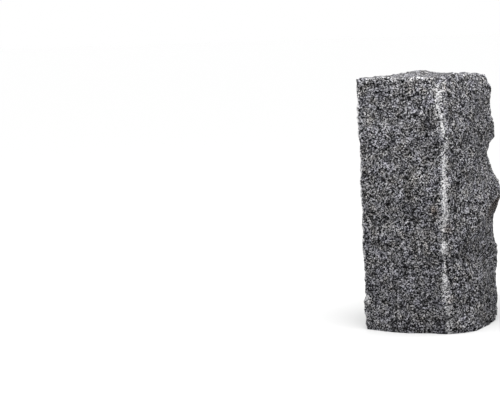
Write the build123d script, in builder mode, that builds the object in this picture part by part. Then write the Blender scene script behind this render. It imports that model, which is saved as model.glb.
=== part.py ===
"""Split granite garden block, stood on end.

One piece of stock: a hand-split block of grey granite, nominally 150 x 200 x
400 mm, with four wavy split sides, four uneven arrises, an uneven split top
and a level foot.  Millimetres, +Z up, front face towards -Y, the origin on
the floor under the middle of the bounding box.
"""
import math
import os

from build123d import *

# ---------------------------------------------------------------- dimensions
HEIGHT = 402.0          # mean height of the split top above the floor
DEPTH = 201.4           # front arrises to back arrises
FRONT_Y = -DEPTH / 2
BACK_Y = DEPTH / 2
SHIFT_X = 12.4          # brings the middle of the bounding box to x = 0
SHIFT_Y = -2.5          # brings the middle of the bounding box to y = 0
SIDE_POINTS = 11        # points along each side of a section, corners excluded
CUT_ROOM = 26.0         # stock left above the top before it is split off

# heights of the sections through the block
LEVELS = (0, 10, 24, 40, 56, 72, 88, 104, 120, 136, 152, 168, 184, 200, 216,
          232, 248, 264, 280, 296, 312, 328, 344, 360, 376, 392, 408, 428)

# the four upright arrises: (height, x, y)
ARRIS_FRONT_LEFT = (
    (0, -70.5, -97.5), (12, -69.8, -99.6), (61, -68.7, -100.7),
    (111, -68.9, -100.2), (160, -69.7, -101.2), (209, -70.1, -100.7),
    (269, -69.1, -101.5), (297, -70.0, -100.4), (335, -71.5, -100.7),
    (360, -72.3, -101.2), (385, -72.8, -100.7), (403, -75.4, -100.7),
    (428, -76.6, -100.7),
)
ARRIS_FRONT_RIGHT = (
    (0, 73.2, -95.5), (12, 73.2, -98.2), (36, 74.5, -100.7),
    (60, 71.7, -101.0), (84, 69.9, -101.4), (101, 71.0, -100.6),
    (117, 73.1, -100.2), (132, 70.1, -101.0), (148, 68.8, -101.2),
    (164, 68.4, -100.9), (189, 73.3, -100.4), (212, 75.5, -100.7),
    (239, 74.5, -101.3), (259, 74.4, -101.0), (279, 75.5, -100.6),
    (295, 77.0, -100.2), (315, 74.8, -100.7), (334, 72.8, -101.3),
    (358, 67.5, -101.5), (375, 66.2, -101.0), (390, 66.6, -100.7),
    (403, 68.5, -100.7), (428, 69.0, -100.7),
)
ARRIS_BACK_RIGHT = (
    (0, 73.0, 98.5), (14, 72.4, 100.0), (34, 73.7, 100.7), (54, 70.6, 101.2),
    (74, 72.8, 100.7), (94, 73.2, 100.2), (105, 75.2, 100.7),
    (124, 71.2, 101.4), (144, 69.0, 101.0), (164, 68.6, 100.4),
    (175, 73.2, 100.2), (185, 77.0, 100.5), (195, 80.7, 100.7),
    (205, 81.8, 100.7), (215, 82.0, 100.7), (224, 79.6, 100.8),
    (234, 72.7, 101.0), (244, 67.7, 101.2), (254, 64.3, 101.2),
    (264, 61.0, 101.0), (274, 61.2, 100.8), (284, 65.0, 100.7),
    (294, 70.5, 100.7), (304, 72.5, 100.5), (314, 73.6, 100.3),
    (323, 72.9, 100.5), (333, 69.6, 100.7), (343, 68.1, 101.0),
    (353, 67.4, 101.2), (363, 68.5, 100.9), (373, 68.7, 100.7),
    (383, 67.2, 100.5), (389, 64.7, 100.2), (398, 58.7, 99.4),
    (408, 52.0, 98.0), (428, 44.0, 97.0),
)
ARRIS_BACK_LEFT = (
    (0, -66.0, 98.0), (18, -67.8, 100.2), (34, -69.6, 100.9),
    (52, -71.2, 102.2), (70, -70.0, 100.6), (86, -66.8, 99.4),
    (102, -67.6, 101.3), (118, -69.4, 101.9), (136, -66.4, 99.8),
    (152, -64.2, 98.6), (170, -67.0, 100.2), (188, -70.8, 101.6),
    (206, -73.2, 102.4), (226, -72.4, 100.8), (244, -69.2, 99.6),
    (262, -66.6, 100.6), (280, -67.8, 101.8), (298, -70.6, 101.2),
    (316, -70.2, 99.4), (336, -67.2, 99.0), (356, -70.6, 100.8),
    (376, -74.6, 102.0), (394, -74.0, 100.8), (408, -72.6, 100.0),
    (428, -72.0, 99.6),
)

# swells (+) and hollows (-) of the split sides:
# (place along the side, height, half length, half height, amount)
FRONT_RELIEF = (
    (-8, -10, 48, 105, 8.0), (-10, 2, 36, 26, 3.6), (35, 322, 17, 15, -3.0),
    (44, 234, 24, 24, 2.4), (-18, 208, 36, 15, 2.0), (-16, 184, 36, 15, -2.2),
    (30, 203, 30, 14, 1.3), (32, 180, 30, 14, -1.8), (-48, 362, 30, 26, -1.6),
    (2, 352, 40, 30, 1.8), (-40, 282, 36, 34, 1.5), (10, 140, 44, 34, 1.4),
    (-44, 118, 26, 30, -1.8), (46, 96, 26, 30, -1.6), (8, 268, 40, 22, -1.4),
)
RIGHT_RELIEF = (
    (-6, 180, 78, 520, 13.0), (-62, -12, 44, 92, 11.0), (4, -12, 72, 100, 10.0),
    (-46, -6, 60, 30, 3.2),
    (62, 206, 38, 26, 3.8), (60, 216, 34, 24, 1.8), (18, 182, 40, 25, 6.4),
    (-32, 158, 40, 25, 5.6), (48, 153, 32, 14, -4.2), (6, 137, 32, 13, -4.0),
    (-38, 117, 36, 14, -4.0), (20, 286, 66, 26, -3.2), (-74, 288, 16, 40, -2.2),
    (10, 346, 34, 14, 2.8), (-40, 376, 34, 20, -1.6), (-36, 240, 30, 24, 1.6),
    (34, 88, 30, 22, 1.8), (64, 58, 24, 24, -1.8),
)
BACK_RELIEF = (
    (10, 180, 80, 190, 3.2), (-34, 322, 34, 40, 3.4), (30, 286, 32, 26, -4.2),
    (-26, 236, 36, 20, -3.6), (36, 130, 30, 34, 3.0), (-30, 92, 34, 30, -3.8),
    (14, 46, 44, 24, 3.0), (28, 372, 36, 22, -2.6), (4, 206, 30, 12, 2.4),
    (-8, 158, 34, 12, -2.2),
)
LEFT_RELIEF = (
    (0, 210, 84, 200, 2.8), (40, 318, 38, 36, 3.0), (-34, 268, 34, 28, -4.0),
    (26, 214, 44, 18, -3.6), (-46, 160, 30, 30, 2.8), (44, 108, 36, 30, -3.4),
    (-20, 62, 46, 28, 3.0), (-30, 364, 36, 24, -2.6), (10, 180, 40, 13, 2.4),
    (58, 372, 26, 18, -2.0),
)

# low undulation of every split side:
# (wave length along, wave length up, amount, phase)
UNDULATION = ((61, 143, 0.75, 0.4), (-83, 97, 0.70, 2.1), (118, -76, 0.65, 4.0),
              (47, 211, 0.50, 5.2), (-139, 58, 0.50, 1.3))

# the uneven top: heights above HEIGHT, rows from front to back
TOP_X = (-96, -70, -45, -20, 5, 30, 55, 80, 115)
TOP_Y = (-132, -100, -68, -34, 0, 34, 68, 100, 124)
TOP_RELIEF = (
    (0.6, 0.6, 1.4, 1.8, 0.6, 0.2, 0.0, 1.6, 1.0),
    (0.4, 0.5, 1.3, 1.9, 0.7, 0.3, 0.2, 2.6, 2.0),
    (1.2, 0.4, -1.2, 0.6, -0.8, 0.0, 1.8, 5.0, 5.4),
    (2.2, 1.4, -0.4, -1.4, 0.2, -0.8, 2.0, 4.6, 5.0),
    (1.0, 1.4, 1.0, -0.6, -1.3, 0.0, 0.9, 2.0, 2.4),
    (0.8, 1.6, 2.4, 0.6, -0.6, -1.0, 0.5, 1.2, 1.4),
    (1.8, 3.2, 4.4, 1.6, 0.4, -0.4, -1.2, -3.8, -5.0),
    (3.4, 4.8, 6.0, 1.2, 0.1, -0.6, -3.2, -6.2, -8.0),
    (3.0, 4.4, 5.4, 0.8, -0.4, -1.2, -4.0, -7.0, -9.0),
)

# flakes knocked off the edges: (x, y, z of the ball that bites, its radius)
FLAKES = (
    (-82.8, -112.6, 303, 20.0), (-82.0, -112.0, 52, 20.0),
    (84.2, -113.6, 330, 20.0), (80.8, -113.6, 147, 20.0),
    (-80.0, 115.0, 246, 21.5), (-78.0, 115.5, 92, 22.0),
    (-76.9, 112.2, 160, 20.0), (-80.8, 111.8, 314, 20.0),
    (-86.8, 113.0, 374, 20.0), (-84.6, 121.5, 28, 30.0),
    (83.4, 113.4, 128, 20.0), (20.0, -113.6, 414.6, 20.0),
    (-86.0, 18.0, 416, 21.0), (-30.0, 116.4, 417, 20.5),
    (42.0, 114.0, -12.5, 20.0), (-80.0, -40.0, -12.0, 19.5),
)
# the knocked-off front right top corner, broken in two facets, a flat one over
# a steep one: a point on the break, its direction
CORNER_BREAKS = (
    ((66.0, -101.0, 384.5), (0.679, -0.404, 0.613)),
    ((65.0, -101.0, 375.0), (0.840, -0.460, 0.290)),
)


# ------------------------------------------------------------------- helpers
def along(table, z):
    """Smooth reading of an arris table at height z."""
    zs = [row[0] for row in table]
    if z <= zs[0]:
        return table[0][1:]
    if z >= zs[-1]:
        return table[-1][1:]
    i = max(k for k in range(len(zs) - 1) if zs[k] <= z)
    t = (z - zs[i]) / (zs[i + 1] - zs[i])
    t = t * t * (3 - 2 * t) * 0.5 + t * 0.5
    return tuple(a + (b - a) * t for a, b in zip(table[i][1:], table[i + 1][1:]))


def smooth_corner(table, z):
    """The arris averaged over a hand's breadth of height."""
    reach = [along(table, z + d) for d in (-60, -45, -30, -15, 0, 15, 30, 45, 60)]
    return tuple(sum(v) / len(reach) for v in zip(*reach))


def relief(bumps, s, z, phase):
    """Outward relief of a split side at place s and height z."""
    out = sum(h * math.exp(-((s - s0) / rs) ** 2 - ((z - z0) / rz) ** 2)
              for s0, z0, rs, rz, h in bumps)
    return out + sum(h * math.sin(2 * math.pi * (s / ls + z / lz) + p + phase)
                     for ls, lz, h, p in UNDULATION)


def side(start, finish, bumps, use_x, z, phase, rise):
    """Points of one side of a section, from arris to arris."""
    a, b = along(start, z), along(finish, z)
    sa, sb = smooth_corner(start, z), smooth_corner(finish, z)
    length = math.hypot(sb[0] - sa[0], sb[1] - sa[1])
    nx, ny = (sb[1] - sa[1]) / length, -(sb[0] - sa[0]) / length
    points = [a]
    for k in range(1, SIDE_POINTS + 1):
        t = k / (SIDE_POINTS + 1)
        near = max(0.0, 1 - t / 0.42) ** 2
        far = max(0.0, 1 - (1 - t) / 0.42) ** 2
        x = sa[0] + (sb[0] - sa[0]) * t + (a[0] - sa[0]) * near + (b[0] - sb[0]) * far
        y = sa[1] + (sb[1] - sa[1]) * t + (a[1] - sa[1]) * near + (b[1] - sb[1]) * far
        w = min(1.0, t / rise[0], (1 - t) / rise[1])
        w = math.sin(w * math.pi / 2)
        h = w * relief(bumps, x if use_x else y, z, phase)
        points.append((x + nx * h, y + ny * h))
    points.append(b)
    return [(x - SHIFT_X, y - SHIFT_Y) for x, y in points]


def top_profile(row):
    return [(x - SHIFT_X, HEIGHT + h) for x, h in zip(TOP_X, TOP_RELIEF[row])]


# ---------------------------------------------------------------------- block
with BuildPart() as block:
    # the split sides, from the level foot up past the top
    for z in LEVELS:
        with BuildSketch(Plane.XY.offset(z)):
            with BuildLine():
                Spline(*side(ARRIS_FRONT_LEFT, ARRIS_FRONT_RIGHT, FRONT_RELIEF, True, z, 0.0, (0.22, 0.22)))
                Spline(*side(ARRIS_FRONT_RIGHT, ARRIS_BACK_RIGHT, RIGHT_RELIEF, False, z, 1.7, (0.16, 0.22)))
                Spline(*side(ARRIS_BACK_RIGHT, ARRIS_BACK_LEFT, BACK_RELIEF, True, z, 3.1, (0.22, 0.22)))
                Spline(*side(ARRIS_BACK_LEFT, ARRIS_FRONT_LEFT, LEFT_RELIEF, False, z, 4.6, (0.22, 0.22)))
            make_face()
    loft()

    # the uneven top, split off
    for row, y in enumerate(TOP_Y):
        with BuildSketch(Plane.XZ.offset(SHIFT_Y - y)):
            with BuildLine():
                profile = top_profile(row)
                Spline(*profile)
                Polyline(profile[-1], (profile[-1][0], HEIGHT + 3 * CUT_ROOM),
                         (profile[0][0], HEIGHT + 3 * CUT_ROOM), profile[0])
            make_face()
    loft(mode=Mode.SUBTRACT)

    # the knocked-off corner and the flakes along the edges
    for point, direction in CORNER_BREAKS:
        split(bisect_by=Plane(origin=(point[0] - SHIFT_X, point[1] - SHIFT_Y, point[2]),
                              z_dir=direction), keep=Keep.BOTTOM)
    for x, y, z, radius in FLAKES:
        with Locations((x - SHIFT_X, y - SHIFT_Y, z)):
            Sphere(radius, mode=Mode.SUBTRACT)

block.part.label = "block"

os.makedirs("parts", exist_ok=True)
export_step(block.part, "parts/block.step")
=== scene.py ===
import math

import bmesh
import bpy
import numpy as np
from mathutils import Matrix, Vector, kdtree, noise


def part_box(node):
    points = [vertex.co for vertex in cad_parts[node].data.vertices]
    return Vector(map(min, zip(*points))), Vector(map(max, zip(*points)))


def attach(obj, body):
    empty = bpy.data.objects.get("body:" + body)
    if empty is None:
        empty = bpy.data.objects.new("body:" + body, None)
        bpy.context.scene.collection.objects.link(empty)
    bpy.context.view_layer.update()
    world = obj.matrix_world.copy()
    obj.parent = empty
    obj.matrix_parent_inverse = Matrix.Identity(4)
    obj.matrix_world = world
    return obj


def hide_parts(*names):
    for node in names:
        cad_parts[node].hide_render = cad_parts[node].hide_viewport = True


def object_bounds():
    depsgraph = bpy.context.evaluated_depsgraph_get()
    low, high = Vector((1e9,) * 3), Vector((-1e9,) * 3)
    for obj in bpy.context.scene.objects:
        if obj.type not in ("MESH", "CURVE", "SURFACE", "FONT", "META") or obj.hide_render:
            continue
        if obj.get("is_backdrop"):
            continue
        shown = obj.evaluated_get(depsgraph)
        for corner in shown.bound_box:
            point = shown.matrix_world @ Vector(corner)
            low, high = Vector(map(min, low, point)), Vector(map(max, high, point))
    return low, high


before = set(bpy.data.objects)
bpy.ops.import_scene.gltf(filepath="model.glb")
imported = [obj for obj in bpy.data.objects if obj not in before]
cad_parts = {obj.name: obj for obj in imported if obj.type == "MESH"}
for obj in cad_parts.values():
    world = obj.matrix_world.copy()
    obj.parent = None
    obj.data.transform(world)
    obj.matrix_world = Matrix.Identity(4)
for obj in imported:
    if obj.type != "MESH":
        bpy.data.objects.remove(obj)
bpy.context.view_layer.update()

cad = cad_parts["block"]
LOW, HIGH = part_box("block")

# ------------------------------------------------------------ measurements
VOXEL = 0.0020              # grid of the split surface, metres
SHIFT = (0.0124, -0.0025)   # where the arris readings below have their zero
IMAGE = (500, 400)
FOCAL_PX = 1700.0
CAMERA_AT = (1.1389, -2.5048, 0.4844)
AZIMUTH, ELEVATION, ROLL = 30.694, 5.706, -2.0


# ----------------------------------------------------------------- helpers
def table(rows, at):
    """Linear reading of (place, value) rows, at an array of places."""
    return np.interp(at, [r[0] for r in rows], [r[1] for r in rows])


def smoothstep(a, b, v):
    t = np.clip((v - a) / (b - a), 0.0, 1.0)
    return t * t * (3 - 2 * t)


def perlin(points, size, seed):
    """Signed noise of about one unit, with features of that size in metres."""
    off = Vector((seed * 7.13, seed * 3.71, seed * 5.37))
    k = 1.0 / size
    return np.array([noise.noise(Vector(p) * k + off) for p in points])


def cells(points, size, seed):
    off = Vector((seed * 5.1, seed * 2.3, seed * 8.9))
    k = 1.0 / size
    return np.array([noise.cell(Vector(p) * k + off) for p in points])


# --------------------------------------------------- the split stone's mesh
def remeshed():
    """The solid's surface on an even grid."""
    mesh = cad.data.copy()
    bm = bmesh.new()
    bm.from_mesh(mesh)
    bmesh.ops.remove_doubles(bm, verts=bm.verts, dist=1e-6)
    bm.to_mesh(mesh)
    bm.free()
    temp = bpy.data.objects.new("grid_source", mesh)
    bpy.context.scene.collection.objects.link(temp)
    mod = temp.modifiers.new("grid", "REMESH")
    mod.mode = "VOXEL"
    mod.voxel_size = VOXEL
    mod.adaptivity = 0.0
    dg = bpy.context.evaluated_depsgraph_get()
    made = bpy.data.meshes.new_from_object(temp.evaluated_get(dg))
    bpy.data.objects.remove(temp)
    bpy.data.meshes.remove(mesh)
    return made


def points_of(mesh):
    co = np.empty(len(mesh.vertices) * 3)
    mesh.vertices.foreach_get("co", co)
    return co.reshape(-1, 3)


def edges_of(mesh):
    e = np.empty(len(mesh.edges) * 2, dtype=np.int64)
    mesh.edges.foreach_get("vertices", e)
    return e.reshape(-1, 2)


def spread(values, edges, times, count):
    """Averages values over neighbouring vertices."""
    v = values.copy()
    for _ in range(times):
        total = v.copy()
        np.add.at(total, edges[:, 0], v[edges[:, 1]])
        np.add.at(total, edges[:, 1], v[edges[:, 0]])
        v = total / (count if v.ndim == 1 else count[:, None])
    return v


def normals_of(mesh, co):
    """Vertex normals of the mesh with its vertices at co."""
    mesh.vertices.foreach_set("co", co.ravel())
    mesh.update()
    n = np.empty(len(mesh.vertices) * 3, dtype=np.float32)
    mesh.vertex_normals.foreach_get("vector", n)
    return n.reshape(-1, 3).astype(float)


mesh = remeshed()
mesh.name = "granite_block"
mesh.materials.clear()
P = points_of(mesh)
E = edges_of(mesh)
# the flake in the middle of the front crown is healed to a shallow one
ball = np.array((0.0200 - SHIFT[0], -0.1136 - SHIFT[1], 0.4146))
reach = np.linalg.norm(P - ball, axis=1)
heal = 0.0016 * smoothstep(0.0212, 0.0204, reach) * np.clip(1 - ((P[:, 0] - ball[0]) / 0.0105) ** 2, 0, 1)
P -= (P - ball) * (heal / reach)[:, None]
# small waves of the two outer arrises, proud of the solid: height, millimetres
FRONT_LEFT_PROUD = (
    (0.000, 2.0), (0.018, 2.1), (0.030, 3.4), (0.038, 4.6), (0.048, 5.0), (0.058, 3.5), (0.068, 2.5),
    (0.086, 2.7), (0.106, 2.4), (0.116, 3.5), (0.126, 4.7), (0.135, 4.1), (0.145, 3.2), (0.155, 2.1),
    (0.165, 2.3), (0.174, 2.8), (0.184, 2.3), (0.203, 2.3), (0.213, 3.1), (0.223, 3.2), (0.233, 4.2),
    (0.242, 4.1), (0.252, 3.7), (0.272, 3.2), (0.291, 2.8), (0.301, 4.0), (0.320, 3.9), (0.340, 3.7),
    (0.350, 2.8), (0.360, 2.8), (0.369, 1.6), (0.400, 1.5))
BACK_RIGHT_PROUD = (
    (0.000, 2.5), (0.010, 2.2), (0.024, 2.1), (0.031, 0.7), (0.037, 1.5), (0.044, 1.5), (0.053, 0.7),
    (0.065, 0.1), (0.073, 0.5), (0.081, 4.6), (0.090, 2.0), (0.098, 1.5), (0.103, 2.7), (0.112, 2.6),
    (0.118, 3.8), (0.129, 3.2), (0.136, 1.3), (0.152, 1.6), (0.164, 1.3), (0.172, 2.6), (0.179, 3.5),
    (0.190, 3.8), (0.199, 4.0), (0.206, 2.4), (0.211, 2.1), (0.218, 1.7), (0.227, 2.8), (0.235, 2.6),
    (0.243, 1.5), (0.259, 0.2), (0.271, 0.9), (0.282, 0.3), (0.290, 2.3), (0.296, 4.0), (0.304, 2.9),
    (0.313, 2.9), (0.320, 3.6), (0.326, 2.4), (0.336, 1.8), (0.350, 0.9), (0.362, 1.3), (0.368, 2.3),
    (0.376, 3.4), (0.383, 4.0), (0.392, 0.8))
gx, gy = P[:, 0] + SHIFT[0], P[:, 1] + SHIFT[1]
wave = table(FRONT_LEFT_PROUD, P[:, 2]) * smoothstep(-0.045, -0.066, gx) * smoothstep(-0.055, -0.092, gy)
P[:, 0] -= wave / 1000
wave = table(BACK_RIGHT_PROUD, P[:, 2]) * smoothstep(0.025, 0.055, gx) * smoothstep(0.050, 0.092, gy)
P[:, 0] += 0.86 * wave / 1000
P[:, 1] += 0.51 * wave / 1000
# the foot of the right side spreads a little
P[:, 0] += (0.0022 * smoothstep(0.016, 0.003, P[:, 2]) * smoothstep(0.030, 0.050, gx)
            * smoothstep(-0.070, -0.030, gy) * smoothstep(0.092, 0.056, gy))
degree = np.bincount(E.ravel(), minlength=len(P)) + 1.0

soft = spread(P, E, 14, degree)          # the surface with its edges eased
N = normals_of(mesh, soft)
convex = np.einsum("ij,ij->i", P - spread(P, E, 5, degree), N)

x, y, z = P[:, 0] + SHIFT[0], P[:, 1] + SHIFT[1], P[:, 2]

# how far each point is from an arris, along the surface as the crow flies
ridge = np.flatnonzero(convex > 0.00042)
tree = kdtree.KDTree(len(ridge))
for i in ridge:
    tree.insert(P[i], int(i))
tree.balance()
far = np.array([tree.find(p)[2] for p in P])


def run_of(mask, along, step, *others):
    """Where an edge runs: its other coordinates, read along one of them."""
    w = mask * np.clip(convex - 0.00030, 0, None) ** 2
    level = np.round((along - along.min()) / step).astype(int)
    weight = np.bincount(level, w)
    keep = weight > weight.max() * 0.02
    at = along.min() + np.arange(len(weight))[keep] * step
    out = []
    for v in others:
        line = np.bincount(level, w * v)[keep] / weight[keep]
        line = np.convolve(np.pad(line, 2, mode="edge"), [0.1, 0.2, 0.4, 0.2, 0.1], "valid")
        out.append(np.interp(along, at, line))
    return out


# the regions of the arrises
front_right = smoothstep(0.035, 0.055, x) * smoothstep(-0.060, -0.080, y)
front_left = smoothstep(-0.040, -0.055, x) * smoothstep(-0.060, -0.080, y)
back_right = smoothstep(0.030, 0.050, x) * smoothstep(0.060, 0.080, y)
back_left = smoothstep(-0.030, -0.050, x) * smoothstep(0.060, 0.080, y)
crown = smoothstep(0.386, 0.396, z)
right_crown = crown * smoothstep(0.045, 0.060, x) * smoothstep(-0.070, -0.050, y)
front_crown = crown * smoothstep(-0.075, -0.090, y) * (1 - smoothstep(0.040, 0.050, x))
foot = smoothstep(0.014, 0.006, z)
broken = smoothstep(0.044, 0.050, x) * smoothstep(-0.054, -0.062, y) * smoothstep(0.366, 0.374, z)

# how wide each arris is bruised, in metres, and the share of its crystals
width = np.full(len(P), 0.0018)
power = np.full(len(P), 0.60)


def where(mask, w, p):
    global width, power
    width = width + mask * (w - width)
    power = power + mask * (p - power)


where(back_right, 0.0016, 0.50)
where(front_left, 0.0018, 0.75)
where(crown, 0.0014, 0.45)
where(right_crown, 0.0012, 0.12)
where(foot, 0.0012, 0.22)
ragged = perlin(P, 0.011, 3) * 0.45 + perlin(P, 0.0046, 4) * 0.55
uneven = np.clip(0.80 + 1.5 * perlin(P, 0.024, 41), 0.10, 1.35)
plain = (1 - front_right) * (1 - front_crown) * (1 - broken)
bruise = plain * power * uneven * np.exp(-0.69 * ((far + 0.0014 * ragged) / width) ** 2)

# the front crown: a thin pale line
yc, zc = run_of(crown * (y < -0.080) * (x < 0.052), x, 0.003, y, z)
off = np.hypot(y - yc, z - zc) + 0.0008 * ragged
line = table([(-0.072, 0.20), (-0.058, 0.50), (-0.046, 0.50), (-0.038, 0.85), (-0.022, 0.65), (-0.016, 0.42),
              (-0.008, 0.70), (0.004, 0.75), (0.011, 0.36), (0.031, 0.40), (0.038, 0.85), (0.045, 0.85),
              (0.052, 0.50)], x)
bruise = np.maximum(bruise, (1 - smoothstep(0.050, 0.056, x)) * line * np.exp(-0.69 * (off / 0.0013) ** 2)
                    * smoothstep(-0.080, -0.088, y) * crown)

# the front right arris, in runs from the foot up: where the run ends, share of
# its crystals bruised, half width.  The width is counted as seen from the front
# right, so it is broader on the side.
FRONT_RIGHT = (
    (0.020, 0.80, 1.8), (0.036, 0.30, 2.6), (0.074, 0.56, 2.4), (0.098, 0.88, 1.8), (0.111, 0.75, 1.3),
    (0.122, 0.40, 1.3), (0.148, 0.90, 2.0), (0.162, 0.45, 1.5), (0.200, 0.72, 2.7), (0.250, 0.95, 2.3),
    (0.300, 0.80, 2.4), (0.314, 0.35, 2.0), (0.400, 0.88, 2.0))
about = table([(0.000, 0.0732), (0.036, 0.0745), (0.060, 0.0717), (0.084, 0.0699), (0.117, 0.0731),
               (0.148, 0.0688), (0.164, 0.0684), (0.189, 0.0733), (0.212, 0.0755), (0.259, 0.0744),
               (0.295, 0.0770), (0.334, 0.0728), (0.358, 0.0675), (0.375, 0.0662)], z)
xa, ya = run_of(front_right * (z < 0.372) * np.exp(-((x - about) / 0.005) ** 2), z, 0.003, x, y)
on_front = (xa - x) > (y - ya)
off = np.hypot(x - xa, y - ya) * np.where(on_front, -551.0, 327.0)
for at, tall, aside in ((0.121, 0.008, -0.9), (0.103, 0.006, -0.5), (0.050, 0.012, -1.4), (0.218, 0.014, -1.2),
                        (0.354, 0.014, -1.1)):
    off = off - aside * np.exp(-((z - at) / tall) ** 2)
off = np.abs(off) + 1.3 * ragged
share, half = np.full(len(P), FRONT_RIGHT[0][1]), np.full(len(P), FRONT_RIGHT[0][2])
for (end, s0, h0), (_, s1, h1) in zip(FRONT_RIGHT, FRONT_RIGHT[1:]):
    step = smoothstep(end - 0.005, end + 0.005, z + 0.003 * ragged)
    share, half = share + (s1 - s0) * step, half + (h1 - h0) * step
sparse = np.clip(0.05 + 0.50 * perlin(P, 0.017, 43), 0, 0.40)
band = np.maximum(share * np.exp(-0.69 * (off / half) ** 2), sparse * np.exp(-(off / 5.5) ** 2))
bruise = np.maximum(bruise, band * front_right * (1 - broken * smoothstep(0.377, 0.385, z)))

# the broken corner: an upper and a lower facet, whitest on the lower one
mx, my, mz = x * 1000, y * 1000, z * 1000
upper = smoothstep(-2.2, -0.7, 0.679 * (mx - 66) - 0.404 * (my + 101) + 0.613 * (mz - 384.5))
rim = smoothstep(-3.6, -1.2, 0.840 * (mx - 65) - 0.460 * (my + 101) + 0.290 * (mz - 375.0))
white = np.clip(0.70 + 1.1 * ragged, 0.2, 1.0)
white = white * (1 - 0.75 * smoothstep(0.378, 0.386, z) * smoothstep(-0.087, -0.095, y))
white = white * (1 - 0.80 * smoothstep(0.381, 0.375, z) * smoothstep(-0.0990, -0.0945, y))
chip = rim * 0.92 * white * smoothstep(0.3965, 0.3905, z)
bruise = np.maximum(bruise, broken * np.clip(chip, 0, 1))
# a bruise beside the front left arris
d = np.sqrt((x + 0.0655) ** 2 + (y + 0.1003) ** 2 + (0.5 * (z - 0.049)) ** 2) + 0.0020 * ragged
bruise = np.maximum(bruise, 0.95 * smoothstep(1.2, 0.5, d / 0.0050))
bruise = np.clip(bruise, 0, 1)
edge = smoothstep(0.0065, 0.0010, far)

# relief of the split faces
relief = (0.0012 * perlin(P, 0.046, 11) + 0.0013 * perlin(P, 0.021, 12)
          + 0.0013 * perlin(P, 0.0105, 13) + 0.0011 * perlin(P, 0.0060, 14)
          + 0.00040 * cells(P, 0.0033, 15))
crush = edge * (0.0009 + 0.0012 * perlin(P, 0.014, 21) + 0.0008 * perlin(P, 0.006, 22))
crush *= 0.6 + 0.6 * power
# flakes off the arrises that aren't bruised in the front
hidden = np.maximum(back_left, crown * smoothstep(-0.060, -0.020, y) * (1 - smoothstep(0.020, 0.045, x)))
crush += edge * hidden * 0.0042 * smoothstep(0.16, 0.42, perlin(P, 0.026, 42))
# a ledge across the right side, proud above its crease and hollow below it
ledge = z - (0.131 + 0.41 * (y + 0.032)) - 0.004 * perlin(P, 0.030, 23)
on_right = smoothstep(0.45, 0.75, N[:, 0]) * smoothstep(-0.060, -0.035, y)
relief += on_right * (0.0010 * np.exp(-((ledge - 0.013) / 0.012) ** 2)
                      - 0.0014 * np.exp(-((ledge + 0.004) / 0.008) ** 2))
# a fissure in the right side, down from the arris
fissure = y - table([(0.070, -0.0880), (0.086, -0.0890), (0.097, -0.0900), (0.105, -0.0920),
                     (0.115, -0.0950), (0.126, -0.0985)], z) - 0.0012 * perlin(P, 0.012, 24)
fissure = (np.exp(-(fissure / 0.0023) ** 2) * smoothstep(0.35, 0.6, N[:, 0])
           * smoothstep(0.069, 0.077, z) * smoothstep(0.128, 0.118, z))
relief -= 0.0016 * fissure
bruise *= 1 - 0.8 * fissure
under = smoothstep(0.0085, 0.0005, z) * (1 - smoothstep(-0.55, -0.75, N[:, 2]))
D = relief - np.maximum(crush, -0.0004) - under * (0.0020 + 0.0024 * perlin(P, 0.009, 31))
D = D * smoothstep(-0.92, -0.70, N[:, 2])
Q = P + N * D[:, None]
Q[:, 2] = np.where(P[:, 2] < 0.0012, 0.0, np.maximum(Q[:, 2], 0.0))

# the ledge's underside towards the back of the right side: painted shade under the ledge, with a brown stain
brow = z - 0.183 - 0.28 * (y - 0.033) + 0.003 * ragged
ledge_shade_and_stain = (smoothstep(0.003, -0.002, brow) * smoothstep(-0.034, -0.014, brow) * np.clip(0.9 + 0.5 * ragged, 0.4, 1.2)
            * smoothstep(0.018, 0.038, y) * smoothstep(0.3, 0.6, N[:, 0]))

# rust in a few pockets: place, reach, amount
rust = 0.55 * ledge_shade_and_stain
for at, reach, amount in (((0.080, -0.092, 0.165), 0.008, 0.9), ((0.0755, -0.0948, 0.053), 0.0045, 0.35),
                          ((0.055, -0.101, 0.195), 0.006, 0.7), ((0.070, -0.084, 0.3855), 0.005, 0.35)):
    d2 = (x - at[0]) ** 2 + (y - at[1]) ** 2 + (z - at[2]) ** 2
    rust = np.maximum(rust, amount * np.exp(-d2 / reach ** 2))

# darker and paler clouds, in millimetres: place, reach, amount. Most are tone that differs in the stone; some are
# painted light and shade: paler above and darker below the ledge across the right side, a painted shadow under a
# small ledge of the front, and painted shade in a hollow near the front right arris
light_and_tone = np.ones(len(P))
for cx, cy, cz, reach, amount in (
        (-47, -101, 376, 18, -0.18), (-2, -101, 371, 20, -0.10), (40, -101, 327, 15, -0.28),
        (50, -101, 243, 16, 0.45), (-31, -101, 200, 13, -0.18), (5, -101, 201, 14, -0.22),
        (-20, -101, 215, 9, -0.20), (-33, -101, 314, 16, 0.14), (14, -102, 75, 8, 0.40),
        (51, -102, 58, 10, -0.30), (-56, -101, 84, 12, -0.16), (39, -101, 167, 12, -0.18),
        (88, 10, 204, 32, 0.18), (86, -30, 190, 30, 0.20), (88, 39, 218, 24, 0.12),
        (78, -60, 80, 26, 0.10), (82, -78, 262, 18, -0.14),
        (83, -38, 132, 14, -0.28), (88, 12, 160, 15, -0.35), (82, 52, 157, 15, -0.20),
        (86, -22, 89, 13, 0.18), (81, -84, 53, 9, -0.30), (61, -98, 391, 6, -0.35),
        (22, -101, 394, 14, 0.42), (-54, -101, 394, 8, 0.15), (-16, -101, 394, 7, -0.16),
        (78, -66, 319, 11, -0.35), (28, -101, 342, 9, 0.40), (80, -82, 66, 8, 0.40), (90, 22, 78, 14, -0.22)):
    d2 = (x - cx / 1000) ** 2 + (y - cy / 1000) ** 2 + (z - cz / 1000) ** 2
    light_and_tone += amount * np.exp(-d2 / (reach / 1000) ** 2)
light_and_tone -= 0.10 * upper * broken
# painted shade in the fissure and under the ledge of the right side
light_and_tone -= np.minimum(0.80 * fissure + 0.56 * ledge_shade_and_stain, 0.85)
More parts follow.
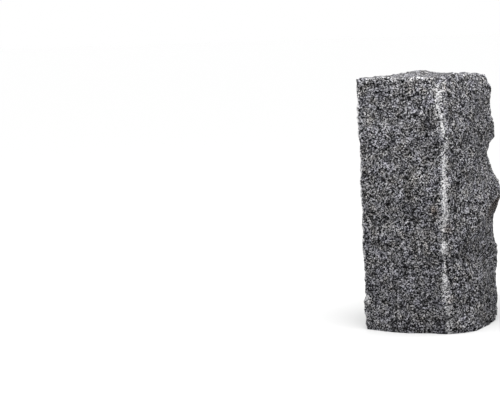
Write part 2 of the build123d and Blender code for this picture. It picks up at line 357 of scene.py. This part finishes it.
# the rounded crown of the right side: pale dust, and a painted highlight where the rounded edge catches the light
# from above
slot = np.round((y - y.min()) / 0.003).astype(int)
peak = np.zeros(slot.max() + 1)
np.maximum.at(peak, slot, np.where(x > 0.040, z, 0))
drop = peak[slot] - z + 0.0025 * ragged
light_and_tone += (0.42 * smoothstep(0.0085, 0.0030, drop) * smoothstep(0.25, 0.5, N[:, 0])
          * smoothstep(-0.070, -0.062, y) * smoothstep(0.062, 0.040, y))

normals_of(mesh, Q)
for name, values in (("bruise", bruise), ("rust", rust), ("crown", smoothstep(0.4, 0.9, N[:, 2])),
                     ("light_and_tone", light_and_tone), ("side", smoothstep(0.45, 0.75, N[:, 0])),
                     ("low", np.clip(1.0 - z / 0.38, 0, 1) ** 0.7)):
    a = mesh.attributes.new(name, "FLOAT", "POINT")
    a.data.foreach_set("value", values.astype(np.float32))

# flat map of the surface: six sides in a strip, for whoever bakes it
loops = np.empty(len(mesh.loops), dtype=np.int64)
mesh.loops.foreach_get("vertex_index", loops)
sizes = np.empty(len(mesh.polygons), dtype=np.int64)
mesh.polygons.foreach_get("loop_total", sizes)
owner = np.repeat(np.arange(len(sizes)), sizes)
facing = np.zeros((len(sizes), 3))
np.add.at(facing, owner, N[loops])
facing *= (1.0, 1.0, 1.15)
axis = np.abs(facing).argmax(1)
way = np.take_along_axis(facing, axis[:, None], 1)[:, 0] > 0
side = (axis * 2 + way)[owner]
wx, wy, wz = (HIGH - LOW)
gap = 0.008
total = 2 * wx + 2 * wy + 5 * gap
px, py, pz = Q[loops, 0] - LOW.x, Q[loops, 1] - LOW.y, Q[loops, 2]
u, v = np.zeros(len(loops)), np.zeros(len(loops))
for s, uu, vv in ((2, gap + px, gap + pz),
                  (1, 2 * gap + wx + py, gap + pz),
                  (3, 3 * gap + wx + wy + (wx - px), gap + pz),
                  (0, 4 * gap + 2 * wx + wy + (wy - py), gap + pz),
                  (5, gap + px, 2 * gap + wz + py),
                  (4, 2 * gap + wx + px, 2 * gap + wz + (wy - py))):
    m = side == s
    u[m], v[m] = (uu / total)[m], (vv / total)[m]
uv = mesh.uv_layers.new(name="OFBake")
uv.data.foreach_set("uv", np.column_stack([u, v]).astype(np.float32).ravel())
mesh.polygons.foreach_set("use_smooth", np.ones(len(sizes), dtype=bool))
mesh.update()

stone = bpy.data.objects.new("granite_block", mesh)
bpy.context.scene.collection.objects.link(stone)
print("triangles", int((sizes - 2).sum()), "bounds", Q.min(0), Q.max(0))


# ------------------------------------------------------------------ granite
def granite():
    mat = bpy.data.materials.new("split_granite")
    mat.use_nodes = True
    nt = mat.node_tree
    nt.nodes.clear()

    def node(kind, **props):
        n = nt.nodes.new(kind)
        for k, val in props.items():
            setattr(n, k, val)
        return n

    def link(a, b):
        nt.links.new(a, b)

    def math_node(op, a, b, clamp=False):
        n = node("ShaderNodeMath", operation=op, use_clamp=clamp)
        for i, val in enumerate((a, b)):
            if hasattr(val, "is_linked"):
                link(val, n.inputs[i])
            else:
                n.inputs[i].default_value = val
        return n.outputs[0]

    def ramp(fac, stops, mode="LINEAR"):
        n = node("ShaderNodeValToRGB")
        n.color_ramp.interpolation = mode
        el = n.color_ramp.elements
        while len(el) < len(stops):
            el.new(0.5)
        for e, (pos, col) in zip(el, stops):
            e.position = pos
            e.color = (*col, 1.0)
        link(fac, n.inputs["Fac"])
        return n.outputs["Color"]

    def mix(kind, fac, a, b):
        n = node("ShaderNodeMix", data_type="RGBA", blend_type=kind)
        ins = [n.inputs[0], n.inputs[6], n.inputs[7]]
        for sock, val in zip(ins, (fac, a, b)):
            if hasattr(val, "is_linked"):
                link(val, sock)
            elif isinstance(val, tuple):
                sock.default_value = (*val, 1.0)
            else:
                sock.default_value = val
        return n.outputs[2]

    def noise_tex(vec, scale, detail=2.0, rough=0.5):
        n = node("ShaderNodeTexNoise")
        n.inputs["Scale"].default_value = scale
        n.inputs["Detail"].default_value = detail
        n.inputs["Roughness"].default_value = rough
        link(vec, n.inputs["Vector"])
        return n

    def voronoi(vec, scale, feature="F1"):
        n = node("ShaderNodeTexVoronoi", feature=feature)
        n.inputs["Scale"].default_value = scale
        link(vec, n.inputs["Vector"])
        return n

    coord = node("ShaderNodeTexCoord").outputs["Object"]
    # crystals with uneven borders
    warp = noise_tex(coord, 420.0, 1.0)
    shift = node("ShaderNodeVectorMath", operation="MULTIPLY_ADD")
    link(warp.outputs["Color"], shift.inputs[0])
    shift.inputs[1].default_value = (0.0018, 0.0018, 0.0018)
    link(coord, shift.inputs[2])
    long = node("ShaderNodeVectorMath", operation="MULTIPLY")
    link(shift.outputs[0], long.inputs[0])
    long.inputs[1].default_value = (1.0, 0.72, 1.0)
    vec = long.outputs[0]

    big = voronoi(vec, 600.0)
    small = voronoi(vec, 1000.0)

    def channel(tex, which):
        s = node("ShaderNodeSeparateColor")
        link(tex.outputs["Color"], s.inputs[0])
        return s.outputs[which]

    a, b = channel(big, 0), channel(small, 1)
    tone = math_node("ADD", math_node("MULTIPLY", a, 0.76), math_node("MULTIPLY", b, 0.24))
    # painted light and shade on the right side: its grain gets more contrast there, standing in for the light and
    # shade on its crystal facets
    side_at = node("ShaderNodeAttribute", attribute_name="side").outputs["Fac"]
    painted_relief_gain = math_node("ADD", math_node("MULTIPLY", side_at, 0.16), 1.0)
    tone = math_node("ADD", math_node("MULTIPLY", math_node("SUBTRACT", tone, 0.62), painted_relief_gain), 0.62)
    for scale, amount in ((58.0, 0.32), (150.0, 0.37)):
        mottle = noise_tex(coord, scale, 2.0, 0.55).outputs["Fac"]
        tone = math_node("ADD", tone, math_node("MULTIPLY", math_node("SUBTRACT", mottle, 0.5), amount))
    colour = ramp(tone, [(0.16, (0.0010, 0.0010, 0.0011)), (0.34, (0.0050, 0.0050, 0.0054)),
                         (0.48, (0.033, 0.0327, 0.0350)), (0.62, (0.103, 0.1023, 0.1090)),
                         (0.78, (0.262, 0.2600, 0.2745)), (0.95, (0.520, 0.517, 0.539))])
    # warmer and cooler clouds
    hue = noise_tex(coord, 66.0, 3.0, 0.6).outputs["Fac"]
    colour = mix("MULTIPLY", 1.0, colour, ramp(hue, [(0.30, (1.034, 1.004, 0.932)), (0.50, (1.0, 1.0, 1.0)),
                                                     (0.70, (0.985, 0.985, 1.063))]))
    fine = noise_tex(coord, 1400.0, 1.0).outputs["Fac"]
    colour = mix("MULTIPLY", 1.0, colour, ramp(fine, [(0.3, (0.80, 0.80, 0.80)), (0.7, (1.22, 1.22, 1.22))]))

    # crushed, paler stone along the arrises
    bruise_at = node("ShaderNodeAttribute", attribute_name="bruise").outputs["Fac"]
    speck = noise_tex(coord, 260.0, 2.0, 0.6).outputs["Fac"]
    clump = math_node("ADD", math_node("MULTIPLY", math_node("SUBTRACT", speck, 0.5), 1.6), 1.0)
    hit = math_node("ADD", math_node("MULTIPLY", bruise_at, clump), channel(big, 1))
    hit = ramp(math_node("MULTIPLY", hit, 0.5), [(0.50, (0, 0, 0)), (0.55, (1, 1, 1))])
    pale = ramp(tone, [(0.20, (0.22, 0.22, 0.223)), (0.48, (0.46, 0.458, 0.465)), (0.8, (0.68, 0.676, 0.684))])
    colour = mix("MIX", hit, colour, pale)

    # paler, dusty crown
    crown_at = node("ShaderNodeAttribute", attribute_name="crown").outputs["Fac"]
    dusty = mix("MIX", 0.17, colour, (0.150, 0.149, 0.153))
    colour = mix("MIX", crown_at, colour, dusty)

    # darker towards the foot: painted shade, as the light from above falls off towards the floor
    foot_shade_at = node("ShaderNodeAttribute", attribute_name="low").outputs["Fac"]
    colour = mix("MULTIPLY", foot_shade_at, colour, (0.66, 0.66, 0.664))

    # darker and paler clouds: tone of the stone, and painted light and shade
    light_and_tone_at = node("ShaderNodeAttribute", attribute_name="light_and_tone").outputs["Fac"]
    colour = mix("MULTIPLY", 1.0, colour, light_and_tone_at)

    # rust
    rust_at = node("ShaderNodeAttribute", attribute_name="rust").outputs["Fac"]
    stained = mix("MULTIPLY", 1.0, colour, (1.12, 0.91, 0.72))
    colour = mix("MIX", rust_at, colour, stained)

    rough = ramp(a, [(0.0, (0.62, 0.62, 0.62)), (0.25, (0.80, 0.80, 0.80)), (1.0, (0.88, 0.88, 0.88))])
    height = math_node("ADD", math_node("MULTIPLY", channel(big, 2), 0.7),
                       math_node("ADD", math_node("MULTIPLY", channel(small, 2), 0.5),
                                 math_node("MULTIPLY", fine, 0.4)))
    bump = node("ShaderNodeBump")
    bump.inputs["Strength"].default_value = 0.8
    bump.inputs["Distance"].default_value = 0.0008
    link(height, bump.inputs["Height"])

    shader = node("ShaderNodeBsdfPrincipled")
    shader.inputs["Specular IOR Level"].default_value = 0.03
    link(colour, shader.inputs["Base Color"])
    link(rough, shader.inputs["Roughness"])
    link(bump.outputs[0], shader.inputs["Normal"])
    out = node("ShaderNodeOutputMaterial")
    link(shader.outputs[0], out.inputs["Surface"])
    return mat


stone.data.materials.append(granite())
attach(stone, "root")
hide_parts("block")


# -------------------------------------------------------- floor and lights
def floor():
    """A plain pale floor, out to the horizon."""
    m = bpy.data.meshes.new("floor")
    m.from_pydata([(-60, -60, 0), (60, -60, 0), (60, 60, 0), (-60, 60, 0)], [], [(0, 1, 2, 3)])
    o = bpy.data.objects.new("floor", m)
    bpy.context.scene.collection.objects.link(o)
    mat = bpy.data.materials.new("pale_floor")
    mat.use_nodes = True
    s = mat.node_tree.nodes["Principled BSDF"]
    s.inputs["Base Color"].default_value = (0.46, 0.46, 0.46, 1)
    s.inputs["Roughness"].default_value = 1.0
    s.inputs["Specular IOR Level"].default_value = 0.0
    m.materials.append(mat)
    return o


floor()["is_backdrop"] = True


def wide_lamp(name, towards, strength, spread_deg):
    """A broad, even lamp, as wide as spread_deg in the sky."""
    d = bpy.data.lights.new(name, "SUN")
    d.energy = strength
    d.angle = math.radians(spread_deg)
    o = bpy.data.objects.new(name, d)
    o.rotation_euler = Vector(towards).to_track_quat("-Z", "Y").to_euler()
    bpy.context.scene.collection.objects.link(o)
    return o


wide_lamp("overhead", (-0.12, 0.22, -1.0), 1.2 * math.pi, 80)


def softbox(name, at, target, size, power):
    d = bpy.data.lights.new(name, "AREA")
    d.shape = "DISK"
    d.size = size
    d.energy = power
    o = bpy.data.objects.new(name, d)
    o.location = at
    o.rotation_euler = (Vector(target) - Vector(at)).to_track_quat("-Z", "Y").to_euler()
    bpy.context.scene.collection.objects.link(o)
    return o


softbox("softbox", (0.22, -0.88, 1.75), (0, 0, 0.3), 0.9, 20)

world = bpy.data.worlds.new("soft_sky")
bpy.context.scene.world = world
world.use_nodes = True
world.node_tree.nodes["Background"].inputs["Color"].default_value = (1, 1, 1, 1)
world.node_tree.nodes["Background"].inputs["Strength"].default_value = 1.0

# ------------------------------------------------------------------- camera
a, e, r = (math.radians(v) for v in (AZIMUTH, ELEVATION, ROLL))
back = Vector((math.sin(a) * math.cos(e), -math.cos(a) * math.cos(e), math.sin(e)))
right = Vector((math.cos(a), math.sin(a), 0))
up = back.cross(right)
R = right * math.cos(r) + up * math.sin(r)
U = up * math.cos(r) - right * math.sin(r)
lens = bpy.data.cameras.new("camera")
lens.sensor_width = 36.0
lens.sensor_fit = "HORIZONTAL"
lens.lens = FOCAL_PX / IMAGE[0] * 36.0
lens.clip_end = 100
camera = bpy.data.objects.new("camera", lens)
rot = Matrix((R, U, back)).transposed().to_4x4()
camera.matrix_world = Matrix.Translation(CAMERA_AT) @ rot
bpy.context.scene.collection.objects.link(camera)
bpy.context.scene.camera = camera

view = bpy.context.scene.view_settings
view.view_transform = "Standard"
view.look = "None"
view.exposure = 0.0

bpy.context.view_layer.update()
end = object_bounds()
